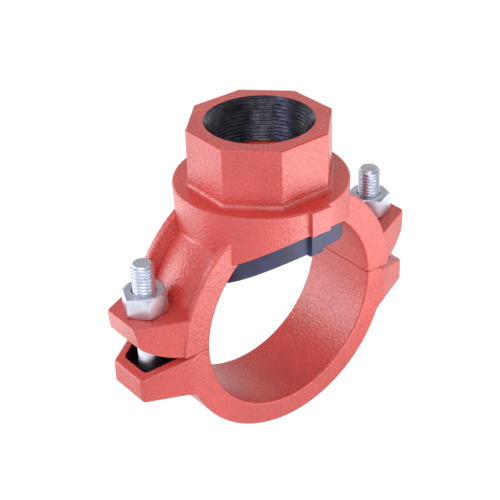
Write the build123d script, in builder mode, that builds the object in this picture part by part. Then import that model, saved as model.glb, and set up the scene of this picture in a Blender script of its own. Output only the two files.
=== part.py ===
from build123d import *
import os
from math import asin, cos, radians, sin, sqrt

# Mechanical tee: a bolted saddle that gives a run pipe a threaded branch outlet.
# Origin on the axis of the run pipe, straight under the outlet.
# +X runs from bolt to bolt, +Y along the run pipe, +Z up the outlet. Millimetres.

os.makedirs("parts", exist_ok=True)

# Run pipe and how the two housings close round it
PIPE_R = 57.15  # 4 inch steel pipe, 114.3 mm outside
PIPE_FIT = 0.25  # radial room between pipe and housing
STRAP_WIDTH = 50.0  # both housings, along the pipe
STRAP_MOUTH = 1.6  # round on the edges that lead onto the pipe
SPLIT_LEVEL = 2.05  # height of the joint between the housings
SPLIT_GAP = 0.5  # the housings stay this far apart on the pipe

# Upper housing: two ribbed arms, a round collar and the outlet boss
RIB_HEIGHT = 16.2  # arm rib, from the bore of the housing
RIB_WIDTH = 4.0  # its crest
RIB_SLOPE = 3.0  # run of its inner wall, down to the valley
VALLEY_HEIGHT = 9.4  # floor of the valley between rib and spine
SPINE_HEIGHT = 14.8  # crest of the rounded spine between the valleys
RIB_ROUND = 1.2
COLLAR_R = 48.4
COLLAR_HEIGHT = 19.35  # its top, from the outside of the pipe
COLLAR_DRAFT = 1.5  # degrees, closing in towards the pipe
COLLAR_LIFT = 4.4  # the collar's rim clears the pipe by this much more than the strap
COLLAR_ROUND = 1.4
KEY_BOSS_WIDTH = 13.0  # the bulge over each gasket key
KEY_BOSS_REACH = 50.4  # from the outlet axis
SPINE_FILLET = 3.0  # where the spine runs up into the collar
OUTLET_HEIGHT = 33.5  # from the top of the collar
OUTLET_FLATS = 75.0  # across the flats of the octagon
OUTLET_ROOT = 2.6  # fillet where the octagon meets the collar
OUTLET_EDGE = 0.9
THREAD_R = 29.07  # pitch radius of the 2 inch pipe thread
THREAD_LENGTH = 27.0
THREAD_MOUTH = 0.9  # chamfer at the top of the thread
WATERWAY_R = 26.2

# Bolts and nuts: half inch track bolts with heavy hexagon nuts
BOLT_BEYOND_PIPE = 23.05  # bolt axis from the outside of the pipe
BOLT_R = 6.35
BOLT_LENGTH = 77.0  # under the head
BOLT_TIP = 1.0  # chamfer
HEAD_R = 11.5
HEAD_HEIGHT = 7.5
HEAD_SEAT_FIT = 0.5  # round the head, where its seat is cut into the junction fillet
NECK_LENGTH = 6.5
NECK_LONG = 17.0
NECK_SHORT = 13.2
NECK_FIT = 0.3
NUT_FLATS = 22.2
NUT_HEIGHT = 12.3
NUT_FIT = 0.05  # radial, on the bolt
NUT_CHAMFER = 1.1
NUT_MOUTH = 0.8  # countersink at the top of the nut's bore
NUT_SWING_FIT = 0.7  # round the corners of a turning nut
NUT_TURN = {"left": 8.5, "right": 21.0}  # how each nut stopped when it was tightened

# Bolt pads, one on each side of both housings
PAD_BEYOND_BOLT = 16.3  # end of the upper pad from the bolt axis
PAD_END_WIDTH = 26.0
PAD_SHOULDER = 12.85  # where the pad's sides start to close in, from the outside of the pipe
PAD_CORNER = 3.0
PAD_EDGE = 1.2
UPPER_PAD_TOP = 24.7
UPPER_PAD_END = 12.6  # thickness at its end
UPPER_PAD_DRAFT = 2.0
BOLT_HOLE_FIT = 0.8  # radial, in the upper pad

# Lower housing: plain strap with cored pads
LOWER_STRAP = 14.2  # thickness
LOWER_PAD_SHORTER = 1.0  # than the upper pad
LOWER_PAD_BOTTOM = -23.8
LOWER_PAD_DROP = 11.2  # the pad's top falls this much to its end
LOWER_PAD_START = 8.85  # where that fall starts, from the outside of the pipe
LOWER_PAD_ROUND = 3.0  # at the bottom of its end
LOWER_SHOULDER_ROUND = 8.0  # where the pad's sides start to close in
LOWER_EDGE = 2.0  # round on the casting's outer edges
JUNCTION_R = 8.0  # fillet from the pad's underside into the strap
CORE_WALL = 5.0
CORE_START = 11.85  # from the outside of the pipe
CORE_CORNER = 4.0
LOWER_PAD_FLOOR = 8.0

# Gasket, in the pocket under the collar
POCKET_R = 44.5
POCKET_DEPTH = 12.0  # roof above the bore of the strap
GASKET_FIT = 0.3  # round the outside
GASKET_ROOF_FIT = 0.2
GASKET_FACE_FIT = 0.1  # sealing face to the strap's bore line
GASKET_HOLE_R = 32.5
KEY_WIDTH = 8.0
KEY_REACH = 46.9

# Worked out from the sizes above
bore_r = PIPE_R + PIPE_FIT
half_width = STRAP_WIDTH / 2
upper_split = SPLIT_LEVEL + SPLIT_GAP / 2
lower_split = SPLIT_LEVEL - SPLIT_GAP / 2
rib_r = bore_r + RIB_HEIGHT
valley_r = bore_r + VALLEY_HEIGHT
spine_r = bore_r + SPINE_HEIGHT
lower_r = bore_r + LOWER_STRAP
pocket_roof_r = bore_r + POCKET_DEPTH
saddle_r = bore_r + COLLAR_LIFT
collar_top = PIPE_R + COLLAR_HEIGHT
outlet_top = collar_top + OUTLET_HEIGHT
bolt_x = PIPE_R + BOLT_BEYOND_PIPE
pad_reach = bolt_x + PAD_BEYOND_BOLT
pad_shoulder = PIPE_R + PAD_SHOULDER
lower_pad_start = PIPE_R + LOWER_PAD_START
core_start = PIPE_R + CORE_START
lower_reach = pad_reach - LOWER_PAD_SHORTER
nut_corner_r = NUT_FLATS / 2 / cos(radians(30))
far = pad_reach + 20  # beyond every edge, for cuts
sides = {"left": -1, "right": 1}


def from_outlet_axis(edge):
    """Distance of an edge's centre from the outlet axis."""
    return Vector(edge.center().X, edge.center().Y, 0).length


def pad_half(x, inset=0.0):
    """Half width of a bolt pad at x, to its closing side or to a line inset from that side."""
    slope = (half_width - PAD_END_WIDTH / 2) / (pad_reach - pad_shoulder)
    return half_width - slope * (x - pad_shoulder) - inset * sqrt(1 + slope**2)


def pad_plan(reach, shoulder_round=0.0):
    """Both pads and the strap between them, seen from above."""
    with BuildSketch() as plan:
        with BuildLine():
            Polyline((0, half_width), (pad_shoulder, half_width), (reach, pad_half(reach)), (reach, 0))
            mirror(about=Plane.XZ)
            mirror(about=Plane.YZ)
        make_face()
        ends = plan.vertices().filter_by(lambda v: abs(v.X) > pad_shoulder + 1)
        fillet(ends, radius=PAD_CORNER)
        if shoulder_round > 0:
            shoulders = plan.vertices().filter_by(lambda v: abs(abs(v.X) - pad_shoulder) < 0.01)
            fillet(shoulders, radius=shoulder_round)
    return plan.sketch


# The space of the pipe inside both straps: straight, with a round at each mouth
with BuildPart() as pipe_space:
    inner = half_width - STRAP_MOUTH
    with BuildSketch(Plane.XY):
        with BuildLine():
            Line((0, 0), (0, half_width))
            Line((0, half_width), (bore_r + STRAP_MOUTH, half_width))
            RadiusArc((bore_r + STRAP_MOUTH, half_width), (bore_r, inner), -STRAP_MOUTH)
            Line((bore_r, inner), (bore_r, 0))
            mirror(about=Plane.XZ)
        make_face()
    revolve(axis=Axis.Y)

# Room for the gasket: a round pocket with two key slots, its roof concentric with the pipe
with BuildPart() as pocket:
    with BuildSketch(Plane.XY):
        Circle(POCKET_R)
        Rectangle(KEY_WIDTH + 2 * GASKET_FIT, 2 * (KEY_REACH + GASKET_FIT))
    extrude(amount=collar_top)
    with BuildSketch(Plane.XZ):
        Circle(pocket_roof_r)
    extrude(amount=COLLAR_R + GASKET_FIT, both=True, mode=Mode.INTERSECT)

# Collar, standing over the pipe like a saddle
with BuildPart() as collar:
    with BuildSketch(Plane.XY.offset(collar_top)):
        Circle(COLLAR_R)
    extrude(amount=-collar_top, taper=COLLAR_DRAFT)
    with BuildSketch(Plane.XY.offset(collar_top)):
        Rectangle(KEY_BOSS_WIDTH, 2 * KEY_BOSS_REACH)
    extrude(amount=-collar_top, taper=COLLAR_DRAFT)
    fillet(collar.edges().group_by(Axis.Z)[-1], radius=COLLAR_ROUND)
    with BuildSketch(Plane.XZ):
        Circle(saddle_r)
    extrude(amount=KEY_BOSS_REACH + 1, both=True, mode=Mode.SUBTRACT)

# Pads of the upper housing, underside relieved towards the ends
with BuildPart() as upper_pads:
    with BuildSketch(Plane.XY.offset(upper_split)):
        add(pad_plan(pad_reach))
    extrude(amount=UPPER_PAD_TOP - upper_split)
    rim = upper_pads.edges().group_by(Axis.Z)[-1].filter_by(lambda e: abs(e.center().X) > pad_shoulder)
    fillet(rim, radius=PAD_EDGE)
    end_bottom = (pad_reach - UPPER_PAD_DRAFT, UPPER_PAD_TOP - UPPER_PAD_END)
    with BuildSketch(Plane.XZ):
        with BuildLine():
            Line((pad_shoulder, 0), (pad_shoulder, upper_split))
            TangentArc((pad_shoulder, upper_split), end_bottom, tangent=(1, 0))
            Line(end_bottom, (pad_reach, UPPER_PAD_TOP))
            Polyline((pad_reach, UPPER_PAD_TOP), (far, UPPER_PAD_TOP), (far, 0), (pad_shoulder, 0))
        make_face()
        mirror(about=Plane.YZ)
    extrude(amount=half_width + 1, both=True, mode=Mode.SUBTRACT)

# Upper housing
with BuildPart() as upper_housing:
    # arms: a ring whose outside has an edge rib, a valley, a rounded spine, a valley and a rib
    valley_y = half_width - RIB_WIDTH - RIB_SLOPE
    with BuildSketch(Plane.XY):
        with BuildLine():
            Polyline((bore_r - 1, 0), (bore_r - 1, half_width), (rib_r, half_width))
            Polyline((rib_r, half_width), (rib_r, half_width - RIB_WIDTH), (valley_r, valley_y))
            mirror(about=Plane.XZ)
            ThreePointArc((valley_r, valley_y), (spine_r, 0), (valley_r, -valley_y))
        section = make_face()
        crests = section.vertices().filter_by(lambda v: abs(v.X - rib_r) < 0.01)
        fillet(crests, radius=RIB_ROUND)
    revolve(axis=Axis.Y)
    split(bisect_by=Plane.XY.offset(upper_split), keep=Keep.TOP)
    add(upper_pads.part)
    # room for the nuts to turn beside the arms
    with BuildSketch(Plane.XY.offset(UPPER_PAD_TOP)):
        with Locations((-bolt_x, 0), (bolt_x, 0)):
            Circle(nut_corner_r + NUT_SWING_FIT)
    extrude(amount=2 * NUT_HEIGHT, mode=Mode.SUBTRACT)
    add(collar.part)
    roots = upper_housing.edges().filter_by(
        lambda e: abs(from_outlet_axis(e) - COLLAR_R) < 1 and abs(e.center().Y) < valley_y
    )
    fillet(roots.filter_by_position(Axis.Z, UPPER_PAD_TOP, collar_top - 5), radius=SPINE_FILLET)
    # outlet boss
    with BuildSketch(Plane.XY.offset(collar_top)):
        octagon = RegularPolygon(OUTLET_FLATS / 2, 8, major_radius=False, rotation=22.5)
        fillet(octagon.vertices(), radius=OUTLET_EDGE)
    extrude(amount=outlet_top - collar_top)
    outlet_edges = upper_housing.edges().filter_by(lambda e: from_outlet_axis(e) < OUTLET_FLATS / 2 * 1.1)
    fillet(outlet_edges.filter_by_position(Axis.Z, collar_top, collar_top), radius=OUTLET_ROOT)
    fillet(outlet_edges.filter_by_position(Axis.Z, outlet_top, outlet_top), radius=OUTLET_EDGE)
    # the pipe, the gasket, the waterway and the thread
    add(pipe_space.part, mode=Mode.SUBTRACT)
    add(pocket.part, mode=Mode.SUBTRACT)
    with BuildSketch(Plane.XY):
        Circle(WATERWAY_R)
    extrude(amount=outlet_top, mode=Mode.SUBTRACT)
    with BuildSketch(Plane.XY.offset(outlet_top)):
        Circle(THREAD_R)
    extrude(amount=-THREAD_LENGTH, mode=Mode.SUBTRACT)
    circles = upper_housing.edges().filter_by(GeomType.CIRCLE)
    chamfer(circles.filter_by_position(Axis.Z, outlet_top, outlet_top), length=THREAD_MOUTH)
    with BuildSketch(Plane.XY.offset(UPPER_PAD_TOP)):
        with Locations((-bolt_x, 0), (bolt_x, 0)):
            Circle(BOLT_R + BOLT_HOLE_FIT)
    extrude(amount=-UPPER_PAD_TOP, mode=Mode.SUBTRACT)
upper_housing.part.label = "upper_housing"
export_step(upper_housing.part, "parts/upper_housing.step")

# Lower housing: strap and pads in one outline, its pads closing in towards their ends
with BuildPart() as lower_housing:
    fillet_x = sqrt((lower_r + JUNCTION_R) ** 2 - (LOWER_PAD_BOTTOM - JUNCTION_R) ** 2)
    on_strap = lower_r / (lower_r + JUNCTION_R)
    strap_start = (fillet_x * on_strap, (LOWER_PAD_BOTTOM - JUNCTION_R) * on_strap)
    with BuildSketch(Plane.XZ) as outline:
        with BuildLine():
            Polyline(
                (0, lower_split),
                (lower_pad_start, lower_split),
                (lower_reach, lower_split - LOWER_PAD_DROP),
                (lower_reach, LOWER_PAD_BOTTOM),
                (fillet_x, LOWER_PAD_BOTTOM),
            )
            TangentArc((fillet_x, LOWER_PAD_BOTTOM), strap_start, tangent=(-1, 0))
            mirror(about=Plane.YZ)
            ThreePointArc(strap_start, (0, -lower_r), (-strap_start[0], strap_start[1]))
        make_face()
        pad_ends = outline.vertices().filter_by(lambda v: abs(v.X) > lower_reach - 0.01)
        fillet(pad_ends.group_by(Axis.Y)[0], radius=LOWER_PAD_ROUND)
    extrude(amount=half_width, both=True)
    with BuildSketch(Plane.XY.offset(lower_split)):
        add(pad_plan(lower_reach, LOWER_SHOULDER_ROUND))
    extrude(amount=-far, mode=Mode.INTERSECT)
    outside = lower_housing.edges().filter_by(lambda e: e.center().Z < lower_split - 0.01)
    across = outside.filter_by(Axis.Y)
    lips = across.filter_by(lambda e: abs(e.center().Z - lower_split + LOWER_PAD_DROP) < 0.01)
    fillet(outside - outside.filter_by(Axis.Z) - across + lips, radius=LOWER_EDGE)
    add(pipe_space.part, mode=Mode.SUBTRACT)
    floor = LOWER_PAD_BOTTOM + LOWER_PAD_FLOOR
    core_end = lower_reach - CORE_WALL
    with BuildSketch(Plane.XY.offset(floor)) as core:
        with BuildLine():
            Line((core_start, 0), (core_start, pad_half(core_start, CORE_WALL)))
            Line((core_start, pad_half(core_start, CORE_WALL)), (core_end, pad_half(core_end, CORE_WALL)))
            Line((core_end, pad_half(core_end, CORE_WALL)), (core_end, 0))
            mirror(about=Plane.XZ)
        make_face()
        fillet(core.vertices(), radius=CORE_CORNER)
        mirror(about=Plane.YZ)
    extrude(amount=lower_split - floor, mode=Mode.SUBTRACT)
    with BuildSketch(Plane.XY.offset(floor)):
        with Locations((-bolt_x, 0), (bolt_x, 0)):
            SlotOverall(NECK_LONG + 2 * NECK_FIT, NECK_SHORT + 2 * NECK_FIT)
    extrude(amount=-far, mode=Mode.SUBTRACT)
    with BuildSketch(Plane.XY.offset(LOWER_PAD_BOTTOM)):
        with Locations((-bolt_x, 0), (bolt_x, 0)):
            Circle(HEAD_R + HEAD_SEAT_FIT)
    extrude(amount=-JUNCTION_R, mode=Mode.SUBTRACT)
lower_housing.part.label = "lower_housing"
export_step(lower_housing.part, "parts/lower_housing.step")

# Gasket: a ring cut to the saddle, with a key at each end of the pipe axis
with BuildPart() as gasket:
    with BuildSketch(Plane.XY):
        Circle(POCKET_R - GASKET_FIT)
        Rectangle(KEY_WIDTH, 2 * KEY_REACH)
        Circle(GASKET_HOLE_R, mode=Mode.SUBTRACT)
    extrude(amount=collar_top)
    with BuildSketch(Plane.XZ):
        Circle(pocket_roof_r - GASKET_ROOF_FIT)
        Circle(bore_r + GASKET_FACE_FIT, mode=Mode.SUBTRACT)
    extrude(amount=KEY_REACH, both=True, mode=Mode.INTERSECT)
gasket.part.label = "gasket"
export_step(gasket.part, "parts/gasket.step")

# Bolts: button head, oval neck that keys in the lower pad, plain round shank for the thread
for name, side in sides.items():
    with BuildPart() as bolt:
        dome_r = (HEAD_R**2 + HEAD_HEIGHT**2) / (2 * HEAD_HEIGHT)
        half_angle = asin(HEAD_R / dome_r) / 2
        dome_centre = LOWER_PAD_BOTTOM - HEAD_HEIGHT + dome_r
        crown = (0, LOWER_PAD_BOTTOM - HEAD_HEIGHT)
        with BuildSketch(Plane.XZ):
            with BuildLine():
                Polyline(crown, (0, LOWER_PAD_BOTTOM), (HEAD_R, LOWER_PAD_BOTTOM))
                ThreePointArc(
                    (HEAD_R, LOWER_PAD_BOTTOM),
                    (dome_r * sin(half_angle), dome_centre - dome_r * cos(half_angle)),
                    crown,
                )
            make_face()
        revolve(axis=Axis.Z)
        with BuildSketch(Plane.XY.offset(LOWER_PAD_BOTTOM)):
            SlotOverall(NECK_LONG, NECK_SHORT)
        extrude(amount=NECK_LENGTH)
        with BuildSketch(Plane.XY.offset(LOWER_PAD_BOTTOM)):
            Circle(BOLT_R)
        extrude(amount=BOLT_LENGTH)
        chamfer(bolt.edges().group_by(Axis.Z)[-1], length=BOLT_TIP)
    placed = bolt.part.moved(Location((side * bolt_x, 0, 0)))
    placed.label = f"bolt_{name}"
    export_step(placed, f"parts/bolt_{name}.step")

# Nuts: heavy hexagon, chamfered at both ends, bored to run on the bolt
for name, side in sides.items():
    with BuildPart() as nut:
        with BuildSketch(Plane.XY.offset(UPPER_PAD_TOP)):
            RegularPolygon(NUT_FLATS / 2, 6, major_radius=False, rotation=NUT_TURN[name])
        extrude(amount=NUT_HEIGHT)
        nut_top = UPPER_PAD_TOP + NUT_HEIGHT
        with BuildSketch(Plane.XZ):
            with BuildLine():
                Polyline(
                    (0, UPPER_PAD_TOP),
                    (nut_corner_r - 2 * NUT_CHAMFER, UPPER_PAD_TOP),
                    (nut_corner_r, UPPER_PAD_TOP + NUT_CHAMFER),
                    (nut_corner_r, nut_top - NUT_CHAMFER),
                    (nut_corner_r - 2 * NUT_CHAMFER, nut_top),
                    (0, nut_top),
                    close=True,
                )
            make_face()
        revolve(axis=Axis.Z, mode=Mode.INTERSECT)
        with BuildSketch(Plane.XY.offset(UPPER_PAD_TOP)):
            Circle(BOLT_R + NUT_FIT)
        extrude(amount=NUT_HEIGHT, mode=Mode.SUBTRACT)
        rims = nut.edges().filter_by(GeomType.CIRCLE).group_by(Axis.Z)[-1]
        chamfer(rims.sort_by(SortBy.RADIUS)[0], length=NUT_MOUTH)
    placed = nut.part.moved(Location((side * bolt_x, 0, 0)))
    placed.label = f"nut_{name}"
    export_step(placed, f"parts/nut_{name}.step")
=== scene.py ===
# %% [markdown]
# # A mechanical tee, dressed in Blender
# A mechanical tee is a saddle that bolts round a steel pipe and gives it a threaded branch.
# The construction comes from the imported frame: two iron housings, a gasket, two bolts, two nuts.
# This notebook gives them their finishes, and adds the threads that are too fine for the frame.
# Everything is in metres, in the frame's own axes: +X from bolt to bolt, +Y along the pipe, +Z up.

# %% Load the frame
import bpy
import bmesh
import math
from mathutils import Matrix, Vector


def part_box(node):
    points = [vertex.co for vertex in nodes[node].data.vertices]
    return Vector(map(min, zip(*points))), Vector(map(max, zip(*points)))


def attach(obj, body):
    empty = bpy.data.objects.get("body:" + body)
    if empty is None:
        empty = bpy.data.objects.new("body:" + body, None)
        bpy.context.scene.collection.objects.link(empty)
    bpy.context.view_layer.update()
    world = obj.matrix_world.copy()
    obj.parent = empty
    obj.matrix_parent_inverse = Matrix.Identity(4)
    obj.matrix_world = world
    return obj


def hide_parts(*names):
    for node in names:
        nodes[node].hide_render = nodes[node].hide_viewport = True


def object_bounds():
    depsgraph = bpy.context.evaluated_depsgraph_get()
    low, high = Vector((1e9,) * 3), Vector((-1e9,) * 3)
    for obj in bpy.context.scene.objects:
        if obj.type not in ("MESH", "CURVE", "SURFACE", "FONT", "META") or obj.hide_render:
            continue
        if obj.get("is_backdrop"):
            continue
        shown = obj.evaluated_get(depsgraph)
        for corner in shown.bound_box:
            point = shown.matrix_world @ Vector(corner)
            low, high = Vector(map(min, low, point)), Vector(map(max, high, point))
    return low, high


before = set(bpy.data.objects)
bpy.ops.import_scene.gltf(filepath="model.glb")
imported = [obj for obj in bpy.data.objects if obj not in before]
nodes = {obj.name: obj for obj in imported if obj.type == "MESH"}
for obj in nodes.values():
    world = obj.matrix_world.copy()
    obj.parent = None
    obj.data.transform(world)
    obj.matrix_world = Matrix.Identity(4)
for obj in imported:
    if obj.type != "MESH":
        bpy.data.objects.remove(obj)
cad_low, cad_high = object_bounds()
mm = 0.001

# %% [markdown]
# ## Colours and nodes
# Colours are written as sRGB hex values, the way a paint card gives them.
# Cycles works in linear light, so one function turns a hex value into linear numbers.
# A second small function adds a shader node, sets its values and joins its inputs.
# A third empties the node tree that Blender gives a new material or world.

# %% Helpers


def linear(hex_code):
    """An sRGB hex colour as linear red, green, blue and alpha."""
    parts = [int(hex_code[i : i + 2], 16) / 255 for i in (1, 3, 5)]
    return [c / 12.92 if c <= 0.04045 else ((c + 0.055) / 1.055) ** 2.4 for c in parts] + [1.0]


def add_node(owner, kind, settings=None, stops=(), **inputs):
    """Adds a node to a material or world. An input is a value, or an output socket to link from.

    An input is named with _ for each space, or _ and its number where its name isn't unique.
    The stops of a colour ramp are positions, each with a hex colour.
    """
    tree = owner.node_tree
    made = tree.nodes.new(kind)
    for name, value in (settings or {}).items():
        setattr(made, name, value)
    for number, (position, hex_code) in enumerate(stops):
        made.color_ramp.elements[number].position = position
        made.color_ramp.elements[number].color = linear(hex_code)
    for name, value in inputs.items():
        key = int(name[1:]) if name[0] == "_" else name.replace("_", " ")
        if isinstance(value, bpy.types.NodeSocket):
            tree.links.new(value, made.inputs[key])
        else:
            made.inputs[key].default_value = value
    return made


def empty_nodes(owner):
    """Turns on the node tree of a new material or world, and empties it."""
    owner.use_nodes = True
    owner.node_tree.nodes.clear()
    return owner


print("a mid red in linear light:", [round(c, 3) for c in linear("#c8504a")])

# %% [markdown]
# ## Camera
# The tee is seen from its left front corner and from above, with a long lens.
# The camera looks at a point near the middle of the saddle, and leans over by two degrees.
# Its place is given by two angles and a distance from that point, as the soft boxes' places are.

# %% Camera
AZIMUTH = -37.34  # degrees: 0 is on the -Y side, 90 on the +X side
ELEVATION = 31.20
ROLL = -2.03
DISTANCE = 724.5 * mm
LENS = 93.0
SENSOR = 36.0
AIM = Vector((-5.9, 4.5, 29.2)) * mm


def direction(azimuth, elevation):
    """The way from the tee to something round it, from two angles in degrees."""
    a, e = math.radians(azimuth), math.radians(elevation)
    return Vector((math.sin(a) * math.cos(e), -math.cos(a) * math.cos(e), math.sin(e)))


camera_data = bpy.data.cameras.new("camera")
camera_data.lens = LENS
camera_data.sensor_width = SENSOR
camera_data.clip_start = 10 * mm
camera_data.clip_end = 50.0
camera = bpy.data.objects.new("camera", camera_data)
scene = bpy.context.scene
scene.collection.objects.link(camera)
back = direction(AZIMUTH, ELEVATION)
camera.location = AIM + back * DISTANCE
turn = (-back).to_track_quat("-Z", "Y").to_matrix().to_4x4()
lean = Matrix.Rotation(math.radians(ROLL), 4, "Z")
camera.rotation_mode = "QUATERNION"
camera.rotation_quaternion = (turn @ lean).to_quaternion()
scene.camera = camera
print("camera at", [round(v, 3) for v in camera.location])

# %% [markdown]
# ## Surround
# The tee stands on a pale floor in a white surround. The surround looks white to the camera
# and near the horizon in reflections, and lights the tee itself only at a plain level. Overhead
# it is dimmer in reflections, or the flat tops would lose their red under a white veil.

# %% Surround
SOFT_LIGHT = 0.48  # strength of the surround as a lamp
CEILING = 0.3  # its strength overhead, in a reflection
DIM_FROM = 0.2  # the upward part of a ray's direction where the dimming starts, and ends
DIM_TO = 0.6
scene.view_settings.view_transform = "Standard"
world = empty_nodes(bpy.data.worlds.new("surround"))
scene.world = world
ray = add_node(world, "ShaderNodeLightPath").outputs
seen = ray["Is Camera Ray"]
for kind in ("Is Glossy Ray", "Is Transmission Ray"):
    larger = add_node(world, "ShaderNodeMath", {"operation": "MAXIMUM"}, _0=seen, _1=ray[kind])
    seen = larger.outputs[0]
soft = add_node(world, "ShaderNodeBackground", Color=linear("#eef0f6"), Strength=SOFT_LIGHT)
way = add_node(world, "ShaderNodeTexCoord").outputs["Generated"]
up = add_node(world, "ShaderNodeSeparateXYZ", Vector=way).outputs["Z"]
reflected = add_node(
    world,
    "ShaderNodeMapRange",
    Value=up,
    From_Min=DIM_FROM,
    From_Max=DIM_TO,
    To_Min=1.0,
    To_Max=CEILING,
)
bright = add_node(
    world,
    "ShaderNodeMath",
    {"operation": "MAXIMUM"},
    _0=reflected.outputs[0],
    _1=ray["Is Camera Ray"],
)
white = add_node(world, "ShaderNodeBackground", Color=(1, 1, 1, 1), Strength=bright.outputs[0])
pick = add_node(
    world, "ShaderNodeMixShader", _0=seen, _1=soft.outputs[0], _2=white.outputs[0]
)
add_node(world, "ShaderNodeOutputWorld", Surface=pick.outputs[0])
print("surround: white to the eye, lighting at", SOFT_LIGHT)

# %% [markdown]
# ## Lamps
# Satin enamel shows its form by its sheen, so most lamps stand where a face mirrors them.
# The fill box by the camera gives every face its own colour. The left and right boxes and the
# two panels that lie beside the tee skim the faces that turn away, and make them paler. The
# high and low boxes on the left reach the arm's valley and the inside of the strap.

# %% Lamp places
PLAIN = "#ffffff"
SKY = "#d5dcff"  # a cold white
PANEL_SIZE = 0.4  # metres, like all sizes of lamps
PANEL_LEVEL = cad_low.z + 4 * mm
# name, azimuth, elevation, distance, width, height, watts, tint
BOXES = (
    ("fill_box", -42, 38, 1.2, 0.8, 0.8, 5.2, PLAIN),
    ("left_box", -136, 14, 0.9, 0.4, 0.45, 2.3, PLAIN),
    ("right_box", 40, 4, 0.8, 0.4, 0.3, 0.7, PLAIN),
    ("top_box", 150, 84, 0.9, 0.5, 0.5, 0.9, PLAIN),
    ("left_low_box", -134, -4, 0.7, 0.4, 0.1, 0.55, SKY),
    ("left_high_box", -98, 53, 0.9, 0.35, 0.35, 0.9, SKY),
    ("front_low_box", 3, -13, 0.3, 0.25, 0.08, 0.22, PLAIN),
)
# name, azimuth, distance from the outlet's axis, watts
PANELS = (("left_panel", -143, 0.36, 0.45), ("right_panel", 37, 0.39, 1.0))
print(len(BOXES), "soft boxes and", len(PANELS), "panels")

# %% Lamps


def soft_lamp(name, place, facing, width, height, watts, tint):
    """A rectangular area lamp that the camera doesn't see."""
    lamp_data = bpy.data.lights.new(name, "AREA")
    lamp_data.shape = "RECTANGLE"
    lamp_data.size = width
    lamp_data.size_y = height
    lamp_data.energy = watts
    lamp_data.color = linear(tint)[:3]
    lamp = bpy.data.objects.new(name, lamp_data)
    lamp.location = place
    lamp.rotation_mode = "QUATERNION"
    lamp.rotation_quaternion = facing.to_track_quat("-Z", "Y")
    lamp.visible_camera = False
    scene.collection.objects.link(lamp)
    print(name, "at", [round(v, 2) for v in place], watts, "W")


for name, azimuth, elevation, distance, width, height, watts, tint in BOXES:
    away = direction(azimuth, elevation)
    soft_lamp(name, AIM + away * distance, -away, width, height, watts, tint)
for name, azimuth, reach, watts in PANELS:
    place = direction(azimuth, 0) * reach
    place.z = PANEL_LEVEL
    soft_lamp(name, place, Vector((0, 0, 1)), PANEL_SIZE, PANEL_SIZE, watts, PLAIN)

# %% [markdown]
# ## Cast iron under enamel
# Both housings are ductile iron, cast in green sand and dipped in an orange-red enamel.
# Sand leaves a skin of grains and shallow pits about a millimetre wide, and the enamel runs
# over it without hiding it, so a lit face sparkles in a fine pebble pattern.
# The pattern could be painted as light and dark dots, but then it would not follow the lamps.
# So it is a bump under a satin gloss, with a faint painted shade in its pits and a faint painted
# highlight on its grains.
# The lower pads are hollow. Their cores are painted nearly black: painted shade for the shadow
# that falls inside them.

# %% The cores of the lower pads
# In millimetres: the side walls close in by PAD_SLOPE, and the rim falls by RIM_SLOPE.
PAD_SLOPE = 0.4528
RIM_SLOPE = 0.3797
CORE_SIDE = 51.5
CORE_INNER_END = 68.7
CORE_OUTER_END = 90.7
CORE_FLOOR = -16.2
CORE_RIM = 26.2


def in_core(material, place):
    """1 inside the hollows of the lower pads and 0 outside, from the place on the casting."""
    xyz = add_node(material, "ShaderNodeSeparateXYZ", Vector=place).outputs
    x, y = (
        add_node(material, "ShaderNodeMath", {"operation": "ABSOLUTE"}, _0=xyz[axis]).outputs[0]
        for axis in "XY"
    )
    side_wall, rim = (
        add_node(
            material, "ShaderNodeMath", {"operation": "MULTIPLY_ADD"}, _0=x, _1=slope, _2=start
        ).outputs[0]
        for slope, start in ((PAD_SLOPE, y), (RIM_SLOPE, xyz["Z"]))
    )
    inside = 1.0
    for value, limit, operation in (
        (side_wall, CORE_SIDE, "LESS_THAN"),
        (x, CORE_INNER_END, "GREATER_THAN"),
        (x, CORE_OUTER_END, "LESS_THAN"),
        (xyz["Z"], CORE_FLOOR, "GREATER_THAN"),
        (rim, CORE_RIM, "LESS_THAN"),
    ):
        test = add_node(
            material, "ShaderNodeMath", {"operation": operation}, _0=value, _1=limit * mm
        )
        both = add_node(
            material, "ShaderNodeMath", {"operation": "MULTIPLY"}, _0=inside, _1=test.outputs[0]
        )
        inside = both.outputs[0]
    return inside


print("cores from", CORE_INNER_END, "to", CORE_OUTER_END, "mm on each side")

# %% Enamel
GRAIN = 1.5 * mm  # width of a bump; real sand is finer, this is as fine as it shows
FINE_GRAIN = 0.7 * mm
CLOUD = 22 * mm  # width of the soft patches in the dip coat
GRAIN_DEPTH = 0.5 * mm
FINE_DEPTH = 0.12 * mm


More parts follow.
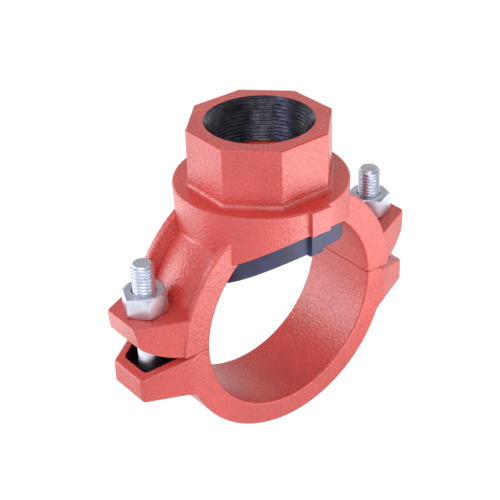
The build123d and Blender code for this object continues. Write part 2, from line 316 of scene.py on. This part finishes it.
def cast_enamel(name, shaded_cores=False):
    """A satin enamel over a sand-cast skin, which can paint the cores of the pads nearly black as
    painted shade.
    """
    material = empty_nodes(bpy.data.materials.new(name))
    place = add_node(material, "ShaderNodeTexCoord").outputs["Object"]
    grain = add_node(
        material, "ShaderNodeTexNoise", Vector=place, Scale=1 / GRAIN, Detail=3.0, Roughness=0.55
    ).outputs["Fac"]
    fine = add_node(
        material, "ShaderNodeTexVoronoi", Vector=place, Scale=1 / FINE_GRAIN, Randomness=1.0
    )
    cloud = add_node(
        material, "ShaderNodeTexNoise", Vector=place, Scale=1 / CLOUD, Detail=2.0
    ).outputs["Fac"]
    colour = add_node(
        material, "ShaderNodeValToRGB", stops=((0.3, "#c93a33"), (0.7, "#d7453b")), Fac=cloud
    )
    # Painted shade and highlight: the colour is a little darker in the grain's pits and a little
    # lighter on its tops.
    painted_pit_shade = add_node(
        material,
        "ShaderNodeMapRange",
        Value=grain,
        From_Min=0.3,
        From_Max=0.6,
        To_Min=0.9,
        To_Max=1.05,
    )
    paint = add_node(
        material,
        "ShaderNodeMix",
        {"data_type": "RGBA", "blend_type": "MULTIPLY"},
        Factor=1.0,
        _6=colour.outputs["Color"],
        _7=painted_pit_shade.outputs["Result"],
    ).outputs[2]
    # Painted shade: the cores of the lower pads are painted nearly black, for the shadow inside
    # them.
    if shaded_cores:
        paint = add_node(
            material,
            "ShaderNodeMix",
            {"data_type": "RGBA"},
            _0=in_core(material, place),
            _6=paint,
            _7=linear("#2a1c20"),
        ).outputs[2]
    coarse_bump = add_node(
        material, "ShaderNodeBump", Strength=0.9, Distance=GRAIN_DEPTH, Height=grain
    )
    bump = add_node(
        material,
        "ShaderNodeBump",
        Strength=0.25,
        Distance=FINE_DEPTH,
        Height=fine.outputs["Distance"],
        Normal=coarse_bump.outputs["Normal"],
    )
    gloss = add_node(
        material,
        "ShaderNodeMapRange",
        Value=grain,
        From_Min=0.3,
        From_Max=0.7,
        To_Min=0.36,
        To_Max=0.22,
    )
    shader = add_node(
        material,
        "ShaderNodeBsdfPrincipled",
        Base_Color=paint,
        Roughness=gloss.outputs["Result"],
        Normal=bump.outputs["Normal"],
        IOR=1.5,
        Specular_IOR_Level=1.0,
    )
    add_node(material, "ShaderNodeOutputMaterial", Surface=shader.outputs[0])
    return material


def dress(name, finish):
    """Gives a node of the frame its finish."""
    nodes[name].data.materials.clear()
    nodes[name].data.materials.append(finish)
    print(name, "wears", finish.name)


dress("upper_housing", cast_enamel("orange_red_enamel_on_ductile_iron"))
dress("lower_housing", cast_enamel("orange_red_enamel_with_painted_shade_in_cores", shaded_cores=True))

# %% [markdown]
# ## Rubber
# The gasket is EPDM rubber, moulded: blue-black and matt, with a soft bloom on its skin.
# A plain matt black would look like a hole under the collar. The bloom gives it a cold sheen
# that drifts, so its lip shows its curve.

# %% Rubber
MOULD_GRAIN = 0.9 * mm
MOULD_DEPTH = 0.08 * mm
BLOOM = 9 * mm  # width of the patches of bloom


def moulded_rubber(name):
    """Matt synthetic rubber with the faint grain of its mould."""
    material = empty_nodes(bpy.data.materials.new(name))
    place = add_node(material, "ShaderNodeTexCoord").outputs["Object"]
    skin = add_node(
        material, "ShaderNodeTexNoise", Vector=place, Scale=1 / MOULD_GRAIN, Detail=2.0
    )
    bloom = add_node(
        material, "ShaderNodeTexNoise", Vector=place, Scale=1 / BLOOM, Detail=3.0
    ).outputs["Fac"]
    colour = add_node(
        material, "ShaderNodeValToRGB", stops=((0.35, "#262843"), (0.65, "#353a63")), Fac=bloom
    )
    bump = add_node(
        material,
        "ShaderNodeBump",
        Strength=0.3,
        Distance=MOULD_DEPTH,
        Height=skin.outputs["Fac"],
    )
    rough = add_node(
        material,
        "ShaderNodeMapRange",
        Value=bloom,
        From_Min=0.3,
        From_Max=0.7,
        To_Min=0.44,
        To_Max=0.56,
    )
    shader = add_node(
        material,
        "ShaderNodeBsdfPrincipled",
        Base_Color=colour.outputs["Color"],
        Roughness=rough.outputs["Result"],
        Normal=bump.outputs["Normal"],
        IOR=1.52,
    )
    add_node(material, "ShaderNodeOutputMaterial", Surface=shader.outputs[0])
    return material


rubber = moulded_rubber("moulded_epdm_rubber")
print("made", rubber.name)

# %% [markdown]
# ## Zinc plate and bare iron
# The bolts and nuts are steel with a bright zinc plate: a metal with a cold, slightly clouded
# shine. The pipe thread is cut after painting, so it is bare iron with a film of oil, dark
# with bright crests. Both are plain metals that differ in colour and gloss, so one function
# makes them.

# %% Zinc plate and bare iron
PLATE_GRAIN = 0.8 * mm
PLATE_DEPTH = 0.05 * mm
PLATE_CLOUD = 5 * mm
GLOSS_DRIFT = 0.07


def plated_metal(name, dark, light, roughness):
    """A metal whose colour and gloss drift between two values over its skin."""
    material = empty_nodes(bpy.data.materials.new(name))
    place = add_node(material, "ShaderNodeTexCoord").outputs["Object"]
    cloud = add_node(
        material,
        "ShaderNodeTexNoise",
        Vector=place,
        Scale=1 / PLATE_CLOUD,
        Detail=4.0,
        Roughness=0.6,
    ).outputs["Fac"]
    skin = add_node(
        material, "ShaderNodeTexNoise", Vector=place, Scale=1 / PLATE_GRAIN, Detail=2.0
    )
    colour = add_node(
        material, "ShaderNodeValToRGB", stops=((0.3, dark), (0.65, light)), Fac=cloud
    )
    bump = add_node(
        material,
        "ShaderNodeBump",
        Strength=0.25,
        Distance=PLATE_DEPTH,
        Height=skin.outputs["Fac"],
    )
    gloss = add_node(
        material,
        "ShaderNodeMapRange",
        Value=cloud,
        From_Min=0.3,
        From_Max=0.7,
        To_Min=roughness + GLOSS_DRIFT,
        To_Max=roughness - GLOSS_DRIFT,
    )
    shader = add_node(
        material,
        "ShaderNodeBsdfPrincipled",
        Base_Color=colour.outputs["Color"],
        Metallic=1.0,
        Roughness=gloss.outputs["Result"],
        Normal=bump.outputs["Normal"],
    )
    add_node(material, "ShaderNodeOutputMaterial", Surface=shader.outputs[0])
    return material


zinc = plated_metal("bright_zinc_plate_on_steel", "#c6cad8", "#e2e6f0", 0.36)
iron = plated_metal("bare_cut_cast_iron", "#343138", "#5c5a65", 0.24)
for name in ("nut_left", "nut_right"):
    dress(name, zinc)

# %% [markdown]
# ## Turned pieces
# The bolts, the gasket and the threaded liner all go round an axis. Each is built the way it
# is drawn: as rings of points, one ring for each step along its outline, joined with quads.
# A ring may change its radius round the axis, which gives the oval neck and the gasket's keys.

# %% Points to a mesh
COLUMNS = 96
SHARP = math.radians(35)
WELD = 0.002 * mm  # points nearer than this become one
angles = [math.tau * i / COLUMNS for i in range(COLUMNS)]


def mesh_of(name, corners, faces, finish, body, slot):
    """A smooth shaded piece in millimetres, with its sharp edges kept, on one body."""
    shape = bmesh.new()
    made = [shape.verts.new(Vector(c) * mm) for c in corners]
    for face in faces:
        shape.faces.new([made[i] for i in face])
    bmesh.ops.remove_doubles(shape, verts=shape.verts, dist=WELD)
    bmesh.ops.dissolve_degenerate(shape, edges=shape.edges, dist=WELD)
    bmesh.ops.recalc_face_normals(shape, faces=shape.faces)
    data = bpy.data.meshes.new(name)
    shape.to_mesh(data)
    open_edges = sum(not edge.is_manifold for edge in shape.edges)
    shape.free()
    data.shade_smooth()
    data.set_sharp_from_angle(angle=SHARP)
    data.materials.append(finish)
    piece = bpy.data.objects.new(name, data)
    scene.collection.objects.link(piece)
    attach(piece, body)
    print(name, len(data.polygons), "faces,", open_edges, "open edges")
    return piece


def ring_faces(first, second):
    """Quads between two rings, given as lists of corner numbers."""
    pairs = list(zip(first, second))
    return [(a, b, c, d) for (a, d), (b, c) in zip(pairs, pairs[1:] + pairs[:1])]


print("rings of", COLUMNS, "points")


# %% [markdown]
# ## Screw threads
# A thread is one ridge that climbs a helix. A spiral of the ridge's section could be swept
# along a curve, but its ends would stop bluntly. Here the surface of the rod is a grid that is
# sheared along the helix, so its rows follow the ridge, and a limit on the radius lets the
# thread fade out at one end and run into a chamfer at the other.

# %% Helical grid


def thread_grid(start, end, pitch, radius_at, steps):
    """Corners and faces of a threaded tube. radius_at takes a height and a place in the pitch."""
    corners, faces = [], []
    turns = math.ceil((end - start) / pitch) + 1
    rows = turns * steps + 1
    number = {}
    for row in range(rows):
        for column in range(COLUMNS + 1):
            height = start + pitch * (row / steps + column / COLUMNS - 1)
            height = min(max(height, start), end)
            phase = ((height - start) / pitch - column / COLUMNS) % 1.0
            radius = radius_at(height, phase)
            turn = math.tau * column / COLUMNS
            number[row, column] = len(corners)
            corners.append((radius * math.cos(turn), radius * math.sin(turn), height))
    for row in range(rows - 1):
        for column in range(COLUMNS):
            square = ((0, 0), (0, 1), (1, 1), (1, 0))
            faces.append([number[row + up, column + along] for up, along in square])
    return corners, faces


def ridge(phase, flat):
    """Height of a thread ridge from 0 at its root to 1 at its crest, with a small flat on each."""
    slope = abs(2 * phase - 1)
    return min(max((slope - flat) / (1 - 2 * flat), 0.0), 1.0)


print("ridge at a quarter of the pitch:", ridge(0.25, 0.1))

# %% [markdown]
# ## Bolts
# These are track bolts: a button head, an oval neck that keys into the lower pad so that the
# bolt can't turn, and a shank with 13 threads to the inch for its upper half. The frame has
# them with a plain shank, so each is replaced by one closed mesh with the thread on it.

# %% Bolt sizes
# In millimetres, like every length of the turned pieces.
BOLT_R = 6.35
BOLT_PITCH = 25.4 / 13
BOLT_THREAD = 40.0  # length of thread, from the tip
THREAD_DEPTH = 0.613 * BOLT_PITCH
HEAD_R = 11.5
HEAD_HEIGHT = 7.5
DOME_STEPS = 10
NECK_LENGTH = 6.5
NECK_END_R = 6.6  # the neck is a slot: two half rounds, with their centres apart
NECK_OFFSET = 1.9
NECK_BREAK = 0.6  # height of the broken edge at the end of the neck
NECK_BREAK_R = 0.25
TIP_R = 4.9
BOLT_FLAT = 0.1  # of a ridge, as a share of the pitch
BOLT_STEPS = 12  # rows to a turn


def neck_radius(turn):
    """Distance of the oval neck's side from the bolt axis."""
    across = abs(math.sin(turn))
    on_flat = across > 0 and NECK_END_R * abs(math.cos(turn)) / across < NECK_OFFSET
    if on_flat:
        return NECK_END_R / across
    end = math.sqrt(NECK_END_R**2 - (NECK_OFFSET * across) ** 2)
    return NECK_OFFSET * abs(math.cos(turn)) + end


def bolt_outline(seat, thread_start):
    """The bolt below its thread, as rings of (radius, height). A radius may be a function."""
    dome_r = (HEAD_R**2 + HEAD_HEIGHT**2) / (2 * HEAD_HEIGHT)
    full = math.asin(HEAD_R / dome_r)
    dome = [full * step / DOME_STEPS for step in range(DOME_STEPS + 1)]
    crown = seat - HEAD_HEIGHT
    neck_end = seat + NECK_LENGTH
    return [
        *((dome_r * math.sin(a), crown + dome_r * (1 - math.cos(a))) for a in dome),
        (neck_radius, seat),
        (neck_radius, neck_end - NECK_BREAK),
        (lambda turn: neck_radius(turn) - NECK_BREAK_R, neck_end),
        (BOLT_R, neck_end),
        (BOLT_R, thread_start),
    ]


def lathe(rings):
    """Corners and faces of rings one above the other."""
    corners, faces = [], []
    for radius, height in rings:
        for turn in angles:
            r = radius(turn) if callable(radius) else radius
            corners.append((r * math.cos(turn), r * math.sin(turn), height))
    for ring in range(len(rings) - 1):
        first = list(range(ring * COLUMNS, (ring + 1) * COLUMNS))
        faces += ring_faces(first, [i + COLUMNS for i in first])
    return corners, faces


def joined(*meshes):
    """Several (corners, faces) as one."""
    corners, faces = [], []
    for more_corners, more_faces in meshes:
        faces += [[i + len(corners) for i in face] for face in more_faces]
        corners += more_corners
    return corners, faces


def moved(mesh, distance):
    """A (corners, faces) mesh, moved along X."""
    corners, faces = mesh
    return [(x + distance, y, z) for x, y, z in corners], faces


print("thread depth", round(THREAD_DEPTH, 2), "mm")


# %% Bolts
for side in ("left", "right"):
    low, high = (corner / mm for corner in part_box("bolt_" + side))
    tip = high.z
    thread_start = tip - BOLT_THREAD

    def bolt_radius(height, phase):
        """Thread that fades out at the bottom and runs into the chamfer at the tip."""
        fade = BOLT_R - THREAD_DEPTH * min((height - thread_start) / BOLT_PITCH, 1.0)
        thread = BOLT_R - THREAD_DEPTH + THREAD_DEPTH * ridge(phase, BOLT_FLAT)
        return min(max(fade, thread), TIP_R + (tip - height))

    shank = lathe(bolt_outline(low.z + HEAD_HEIGHT, thread_start))
    thread = thread_grid(thread_start, tip, BOLT_PITCH, bolt_radius, BOLT_STEPS)
    cap = lathe([(TIP_R, tip), (TIP_R * 0.5, tip), (0.0, tip)])
    bolt = mesh_of(
        "threaded_bolt_" + side,
        *moved(joined(shank, thread, cap), (low.x + high.x) / 2),
        zinc,
        "lower",
        "zinc_plated_steel",
    )
    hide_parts("bolt_" + side)

# %% [markdown]
# ## Pipe thread in the outlet
# The outlet takes a 2 inch pipe: 11 threads to the inch, cut into the iron. The frame has a
# plain bore at the middle of the thread's depth. A thin liner of bare iron stands on that bore,
# from the shoulder to the chamfered mouth, and its ridges make the inner half of the thread.

# %% Outlet thread
OUTLET_BORE = 29.05
PIPE_PITCH = 25.4 / 11
RIDGE_TOP = 27.85
RIDGE_ROOT = 28.95
PIPE_FLAT = 0.08
PIPE_STEPS = 10
PIPE_THREAD_LENGTH = 27.0
FOOT_GAP = 0.05  # between the liner and the shoulder
MOUTH = 0.9  # chamfer
MOUTH_GAP = 0.1  # between the last ridge and the chamfer
FADE = 1.5  # how steeply the ridges rise from the shoulder
SKIN = 0.02
outlet_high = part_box("upper_housing")[1] / mm
outlet_top = outlet_high.z - SKIN
thread_foot = outlet_high.z - PIPE_THREAD_LENGTH + FOOT_GAP
thread_top = outlet_high.z - MOUTH - MOUTH_GAP


def outlet_radius(height, phase):
    """Ridges that start from the chamfer at the mouth and end at the shoulder."""
    room = min(thread_top - height, FADE * (height - thread_foot))
    thread = RIDGE_ROOT - (RIDGE_ROOT - RIDGE_TOP) * ridge(phase, PIPE_FLAT)
    return max(thread, RIDGE_ROOT - room)


ridges = thread_grid(thread_foot, thread_top, PIPE_PITCH, outlet_radius, PIPE_STEPS)
wall = lathe(
    [
        (RIDGE_ROOT, thread_foot),
        (OUTLET_BORE, thread_foot),
        (OUTLET_BORE, outlet_high.z - MOUTH),
        (OUTLET_BORE + MOUTH - SKIN, outlet_top),
        (OUTLET_BORE + MOUTH - 4 * SKIN, outlet_top),
        (RIDGE_ROOT, thread_top),
    ]
)
mesh_of("outlet_thread", *joined(ridges, wall), iron, "upper", "bare_iron")

# %% [markdown]
# ## Gasket
# A saddle of rubber sits in a pocket under the collar and seals the cut edge of the pipe. Its
# lip stands several millimetres into the bore until the pipe presses it back, and a key at
# each end of the pipe axis stops it from turning. Each ring of its outline is bent over the
# pipe: its height is that of a cylinder round the pipe's axis.

# %% Gasket sizes
GASKET_R = 44.2
KEY_HALF = 4.0
KEY_REACH = 46.9
CLEAR_OF_CORNER = math.radians(0.8)  # a plain point stays this far from a key's corner
# How far in from the outer wall, and the distance from the pipe axis:
OUTER_WALL = (
    (0.8, 69.2),
    (0.0, 68.4),
    (0.0, 60.0),
    (0.0, 51.4),
    (0.25, 50.1),
    (0.9, 49.0),
    (1.9, 48.4),
    (3.4, 48.3),
)
# The distance from the outlet axis, and from the pipe axis:
INNER_WALL = (
    (39.6, 49.6),
    (37.9, 53.4),
    (36.2, 56.3),
    (34.0, 57.3),
    (32.9, 58.0),
    (32.5, 59.2),
    (32.5, 68.4),
    (33.2, 69.2),
)
LIP_ABOVE = 57.0  # outline points nearer the pipe axis than this belong to the lip
LIP_CURVE = 0.0022  # per millimetre: how fast the lip draws in towards the straps
LIP_AT_KEYS = 1.6  # how much nearer to the pipe axis it hangs at the keys
key_side = math.sqrt(GASKET_R**2 - KEY_HALF**2)
key_angles = [math.atan2(reach, KEY_HALF) for reach in (key_side, KEY_REACH)]
corner_angles = [q for a in key_angles for q in (a, math.pi - a, math.pi + a, math.tau - a)]
spaced = [a for a in angles if all(abs(a - c) > CLEAR_OF_CORNER for c in corner_angles)]
gasket_angles = sorted(spaced + corner_angles)


def lip_drop(x):
    """The lip hangs deepest at the keys and draws in towards the straps."""
    return LIP_CURVE * x**2 - LIP_AT_KEYS


def gasket_reach(turn):
    """Distance of the gasket's outer wall from the outlet axis, keys included."""
    on_key = abs(math.cos(turn)) * KEY_REACH <= KEY_HALF * abs(math.sin(turn)) * 1.0001
    return KEY_REACH / abs(math.sin(turn)) if on_key else GASKET_R


print("gasket outline of", len(gasket_angles), "points")

# %% Gasket
corners, faces = [], []
around = len(gasket_angles)
outline = [(*point, True) for point in OUTER_WALL] + [(*point, False) for point in INNER_WALL]
for distance, pipe_r, outside in outline:
    for turn in gasket_angles:
        r = gasket_reach(turn) - distance if outside else distance
        x, y = r * math.cos(turn), r * math.sin(turn)
        bent = pipe_r + lip_drop(x) if pipe_r < LIP_ABOVE else pipe_r
        corners.append((x, y, math.sqrt(bent**2 - x**2)))
for ring in range(len(outline)):
    first = [ring * around + i for i in range(around)]
    second = [(ring + 1) % len(outline) * around + i for i in range(around)]
    faces += ring_faces(first, second)
gasket = mesh_of("saddle_gasket", corners, faces, rubber, "upper", "gasket_rubber")
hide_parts("gasket")

# %% [markdown]
# ## Floor
# A plain pale floor lies just under the strap. To the camera it is nearly white, and it keeps
# a little of the shadow. It goes down with the lower housing when the tee is opened, so the tee
# stands on it at every pose. A floor that stayed would hide the opened strap.

# %% Floor
FLOOR_SIZE = 6.0  # metres
FLOOR_GAP = 0.3 * mm
SHADOW_LEFT = 0.22
GLOW = 1.2
floor_paint = empty_nodes(bpy.data.materials.new("pale_floor"))
floor_ray = add_node(floor_paint, "ShaderNodeLightPath").outputs
looked_at = add_node(
    floor_paint,
    "ShaderNodeMath",
    {"operation": "MAXIMUM"},
    _0=floor_ray["Is Camera Ray"],
    _1=floor_ray["Is Glossy Ray"],
)
keep = add_node(
    floor_paint,
    "ShaderNodeMath",
    {"operation": "MULTIPLY"},
    _0=looked_at.outputs[0],
    _1=1 - SHADOW_LEFT,
)
matt = add_node(floor_paint, "ShaderNodeBsdfDiffuse", Color=linear("#f1f1f3"))
glow = add_node(floor_paint, "ShaderNodeEmission", Color=(1, 1, 1, 1), Strength=GLOW)
floor_mix = add_node(
    floor_paint,
    "ShaderNodeMixShader",
    _0=keep.outputs[0],
    _1=matt.outputs[0],
    _2=glow.outputs[0],
)
add_node(floor_paint, "ShaderNodeOutputMaterial", Surface=floor_mix.outputs[0])
half = FLOOR_SIZE / 2
level = cad_low.z - FLOOR_GAP
signs = ((-1, -1), (1, -1), (1, 1), (-1, 1))
floor_corners = [(x * half, y * half, level) for x, y in signs]
floor_data = bpy.data.meshes.new("floor")
floor_data.from_pydata(floor_corners, [], [(0, 1, 2, 3)])
floor_data.materials.append(floor_paint)
floor = bpy.data.objects.new("floor", floor_data)
scene.collection.objects.link(floor)
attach(floor, "lower")
floor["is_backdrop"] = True
print("floor at", round(level / mm, 2), "mm")

# %% Sizes
low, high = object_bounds()
print("model", [round((b - a) / mm, 1) for a, b in zip(low, high)], "mm")
